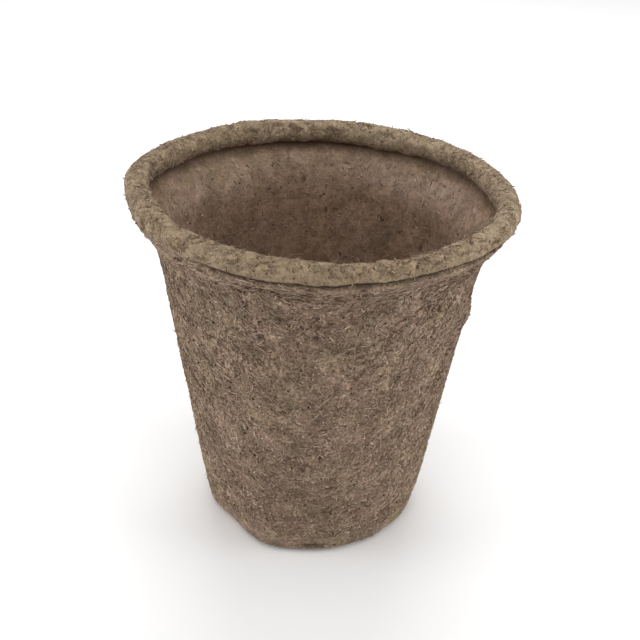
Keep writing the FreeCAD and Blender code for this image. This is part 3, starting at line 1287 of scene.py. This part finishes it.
# Layers of fibres. Each row: name, where they start, count, style, seed.
WALL_LAYERS = (
    ("wall_fibres_low", outside_below(29.0, 5.0), 12000, WALL_STYLE, 101),
    ("wall_fibres_middle", outside_below(53.0, 29.0), 12000, WALL_STYLE, 102),
    ("wall_fibres_high", outside_below(75.6, 53.0), 12000, WALL_STYLE, 103),
    ("wall_fibres_long", outside_below(74.0), 1500, LONG_STYLE, 131),
    ("fold_fibres", on_left_fold, 170, FOLD_STYLE, 141),
    ("wall_chips", outside_below(73.0), 900, CHIP_STYLE, 151),
    ("wall_crumbs", outside_below(76.0), 620, CRUMB_STYLE, 161),
    ("wall_strays", outside_below(74.0), 340, STRAY_STYLE, 171),
)
RIM_LAYERS = (
    ("rim_fibres", above(77.1, 76.2), 7500, RIM_STYLE, 211),
    ("rim_crumbs", above(76.4), 150, RIM_CRUMB_STYLE, 221),
    ("rim_strays", above(76.0), 430, RIM_STRAY_STYLE, 231),
)
INSIDE_LAYERS = (
    ("inside_fibres", inside_wall, 6500, INSIDE_STYLE, 307),
    ("inside_crumbs", inside_wall, 130, dict(CRUMB_STYLE, lift=(0.04, 0.16)), 311),
)
FLOOR_LAYERS = (("floor_fibres", on_floor, 4200, INSIDE_STYLE, 401),)


def lay_layers(scene, layers, skin, slot):
    """Lays each layer of fibres on a plain guide of a skin"""
    sizes, colours = scene.peatpot_sizes, scene.peatpot_colours
    for name, wanted, count, style, seed in layers:
        lay_fibres(name, skin(sizes, False), wanted, count, style, colours, seed, slot)


class PEATPOT_OT_make_roll(bpy.types.Operator):
    """Make the roll of felt round the mouth"""

    bl_idname = "peatpot.make_roll"
    bl_label = "Rolled rim"

    def execute(self, context):
        sizes, colours = context.scene.peatpot_sizes, context.scene.peatpot_colours
        felt = felt_material(
            "rim_felt_tan",
            (colours.rim_tan, colours.rim_rose, colours.pit_shade_brown),
            mat=0.2,
            shaded_holes=0.9,
            bump=0.75,
            contrast=0.18,
            mottle=(0.16, 0.05),
            # painted light: paler to the right and at the back
            painted_light=(1.12, 1.14, 1.17, 1.0),
            light_ways=((LIT_SIDE, LIT_START, LIT_END),),
        )
        new_piece("rim_roll", roll_skin(sizes, True), [felt], "rim_felt", "rolled_rim")
        return {"FINISHED"}


class PEATPOT_OT_make_wall(bpy.types.Operator):
    """Make the tapered wall with its flare"""

    bl_idname = "peatpot.make_wall"
    bl_label = "Side wall"

    def execute(self, context):
        sizes, colours = context.scene.peatpot_sizes, context.scene.peatpot_colours
        outside = felt_material(
            "wall_felt_outside",
            (colours.wall_mauve, colours.wall_olive, colours.pit_shade_brown),
            mat=0.25,
            shaded_holes=0.9,
            bump=0.7,
            contrast=0.35,
            mottle=(0.14, 0.2),
        )
        inside = felt_material(
            "wall_felt_inside",
            (colours.inside_mauve, colours.inside_olive, colours.pit_shade_brown),
            mat=0.16,
            shaded_holes=0.75,
            bump=0.5,
            contrast=0.16,
            mottle=(0.16, 0.1),
            # painted light: paler at the back and towards the top, where more light falls
            painted_light=(1.1, 1.16, 1.2, 1.0),
            light_ways=(((0.0, 1.0, 0.0), 4.0, 24.0), (UP, 60.0, 71.0)),
        )
        bm = wall_skin(sizes, True)
        for face in bm.faces:
            middle = face.calc_center_median()
            middle.z = 0.0
            face.material_index = int(face.normal.dot(middle) < 0.0)
        new_piece("wall_shell", bm, [outside, inside], "wall_felt", "side_wall")
        return {"FINISHED"}


class PEATPOT_OT_make_floor(bpy.types.Operator):
    """Make the floor with its rounded foot and drain hole"""

    bl_idname = "peatpot.make_floor"
    bl_label = "Base and floor"

    def execute(self, context):
        sizes = context.scene.peatpot_sizes
        outside = bpy.data.materials["wall_felt_outside"]
        inside = bpy.data.materials["wall_felt_inside"]
        bm = floor_skin(sizes, True)
        # the inside's felt is on faces that look up, but not on the foot's edge
        for face in bm.faces:
            middle = face.calc_center_median()
            level = Vector((middle.x, middle.y, 0.0))
            within = face.normal.z > 0.1 and face.normal.dot(level) < 0.012
            face.material_index = int(within)
        new_piece("floor_pan", bm, [outside, inside], "floor_felt", "base_floor")
        return {"FINISHED"}


class PEATPOT_OT_lay_wall_fibres(bpy.types.Operator):
    """Lay the mat of fibres on the outside of the wall"""

    bl_idname = "peatpot.lay_wall_fibres"
    bl_label = "Wall fibres"

    def execute(self, context):
        lay_layers(context.scene, WALL_LAYERS, wall_skin, "wall_felt")
        return {"FINISHED"}


class PEATPOT_OT_lay_rim_fibres(bpy.types.Operator):
    """Lay short fibres on the roll"""

    bl_idname = "peatpot.lay_rim_fibres"
    bl_label = "Rim fibres"

    def execute(self, context):
        lay_layers(context.scene, RIM_LAYERS, roll_skin, "rim_felt")
        return {"FINISHED"}


class PEATPOT_OT_lay_inside_fibres(bpy.types.Operator):
    """Lay the flatter fibres of the inside and the floor"""

    bl_idname = "peatpot.lay_inside_fibres"
    bl_label = "Inside fibres"

    def execute(self, context):
        lay_layers(context.scene, INSIDE_LAYERS, wall_skin, "wall_felt")
        lay_layers(context.scene, FLOOR_LAYERS, floor_skin, "floor_felt")
        return {"FINISHED"}


class PEATPOT_OT_make_stage(bpy.types.Operator):
    """Make the floor, the soft lights and the camera"""

    bl_idname = "peatpot.make_stage"
    bl_label = "Stage"

    def execute(self, context):
        scene = context.scene
        stage, colours = scene.peatpot_stage, scene.peatpot_colours
        bm = bmesh.new()
        bmesh.ops.create_grid(bm, x_segments=8, y_segments=8, size=2.0)
        mesh = bpy.data.meshes.new("pale_floor")
        bm.to_mesh(mesh)
        bm.free()
        ground = bpy.data.objects.new("pale_floor", mesh)
        scene.collection.objects.link(ground)
        material, _, shader = new_material("pale_paper", 0.9)
        shader.inputs["Base Color"].default_value = rgba(colours.floor_white)
        shader.inputs["Sheen Weight"].default_value = 0.0
        mesh.materials.append(material)

        world = bpy.data.worlds.new("soft_surround")
        world.use_nodes = True
        sky = world.node_tree.nodes["Background"]
        sky.inputs["Color"].default_value = (1.0, 1.0, 1.0, 1.0)
        sky.inputs["Strength"].default_value = stage.sky
        scene.world = world

        aim = Vector(stage.aim)
        lights = (
            ("top_softbox", (0.0, -0.3, 0.85), 0.7, stage.top_light),
            ("left_softbox", (-0.75, -0.1, 0.2), 0.4, stage.left_light),
            ("right_softbox", (0.75, -0.1, 0.2), 0.4, stage.right_light),
            ("back_softbox", (0.0, 0.45, 0.8), 0.6, stage.back_light),
            ("front_softbox", (0.0, -0.85, 0.4), 0.5, stage.front_light),
        )
        for name, place, size, power in lights:
            data = bpy.data.lights.new(name, "AREA")
            data.shape, data.size, data.energy = "SQUARE", size, power
            lamp = bpy.data.objects.new(name, data)
            lamp.location = place
            lamp.rotation_euler = (aim - lamp.location).to_track_quat("-Z", "Y").to_euler()
            scene.collection.objects.link(lamp)

        back = Vector((0.0, -math.cos(stage.elevation), math.sin(stage.elevation)))
        right = Vector((1.0, 0.0, 0.0))
        over = back.cross(right)
        turn_right = right * math.cos(stage.roll) + over * math.sin(stage.roll)
        turn_over = over * math.cos(stage.roll) - right * math.sin(stage.roll)
        data = bpy.data.cameras.new("photo_view")
        data.lens, data.sensor_width = stage.lens, 36.0
        data.clip_start, data.clip_end = 0.01, 20.0
        camera = bpy.data.objects.new("photo_view", data)
        place = aim + back * stage.distance
        camera.matrix_world = Matrix(
            (
                (turn_right.x, turn_over.x, back.x, place.x),
                (turn_right.y, turn_over.y, back.y, place.y),
                (turn_right.z, turn_over.z, back.z, place.z),
                (0.0, 0.0, 0.0, 1.0),
            )
        )
        scene.collection.objects.link(camera)
        scene.camera = camera
        scene.view_settings.view_transform = "Standard"
        return {"FINISHED"}


class PEATPOT_PT_panel(bpy.types.Panel):
    """Steps of the peat pot, with their sizes and colours"""

    bl_idname = "PEATPOT_PT_panel"
    bl_label = "Peat Pot"
    bl_space_type = "VIEW_3D"
    bl_region_type = "UI"
    bl_category = "Peat Pot"

    def draw(self, context):
        column = self.layout.column()
        for step in STEPS:
            column.operator(step.bl_idname)
        for group, settings in GROUPS.items():
            for name in settings.__annotations__:
                column.prop(getattr(context.scene, group), name)


STEPS = (
    PEATPOT_OT_make_stage,
    PEATPOT_OT_make_roll,
    PEATPOT_OT_make_wall,
    PEATPOT_OT_make_floor,
    PEATPOT_OT_lay_wall_fibres,
    PEATPOT_OT_lay_rim_fibres,
    PEATPOT_OT_lay_inside_fibres,
)
GROUPS = {
    "peatpot_sizes": PotSizes, "peatpot_colours": PotColours, "peatpot_stage": StageSettings
}


def register():
    for kind in (*GROUPS.values(), *STEPS, PEATPOT_PT_panel):
        bpy.utils.register_class(kind)
    for group, settings in GROUPS.items():
        setattr(bpy.types.Scene, group, PointerProperty(type=settings))


def unregister():
    for group in GROUPS:
        delattr(bpy.types.Scene, group)
    for kind in reversed((*GROUPS.values(), *STEPS, PEATPOT_PT_panel)):
        bpy.utils.unregister_class(kind)


def main():
    register()
    bpy.ops.peatpot.make_stage()
    bpy.ops.peatpot.make_roll()
    bpy.ops.peatpot.make_wall()
    bpy.ops.peatpot.make_floor()
    bpy.ops.peatpot.lay_wall_fibres()
    bpy.ops.peatpot.lay_rim_fibres()
    bpy.ops.peatpot.lay_inside_fibres()


if __name__ == "__main__":
    main()
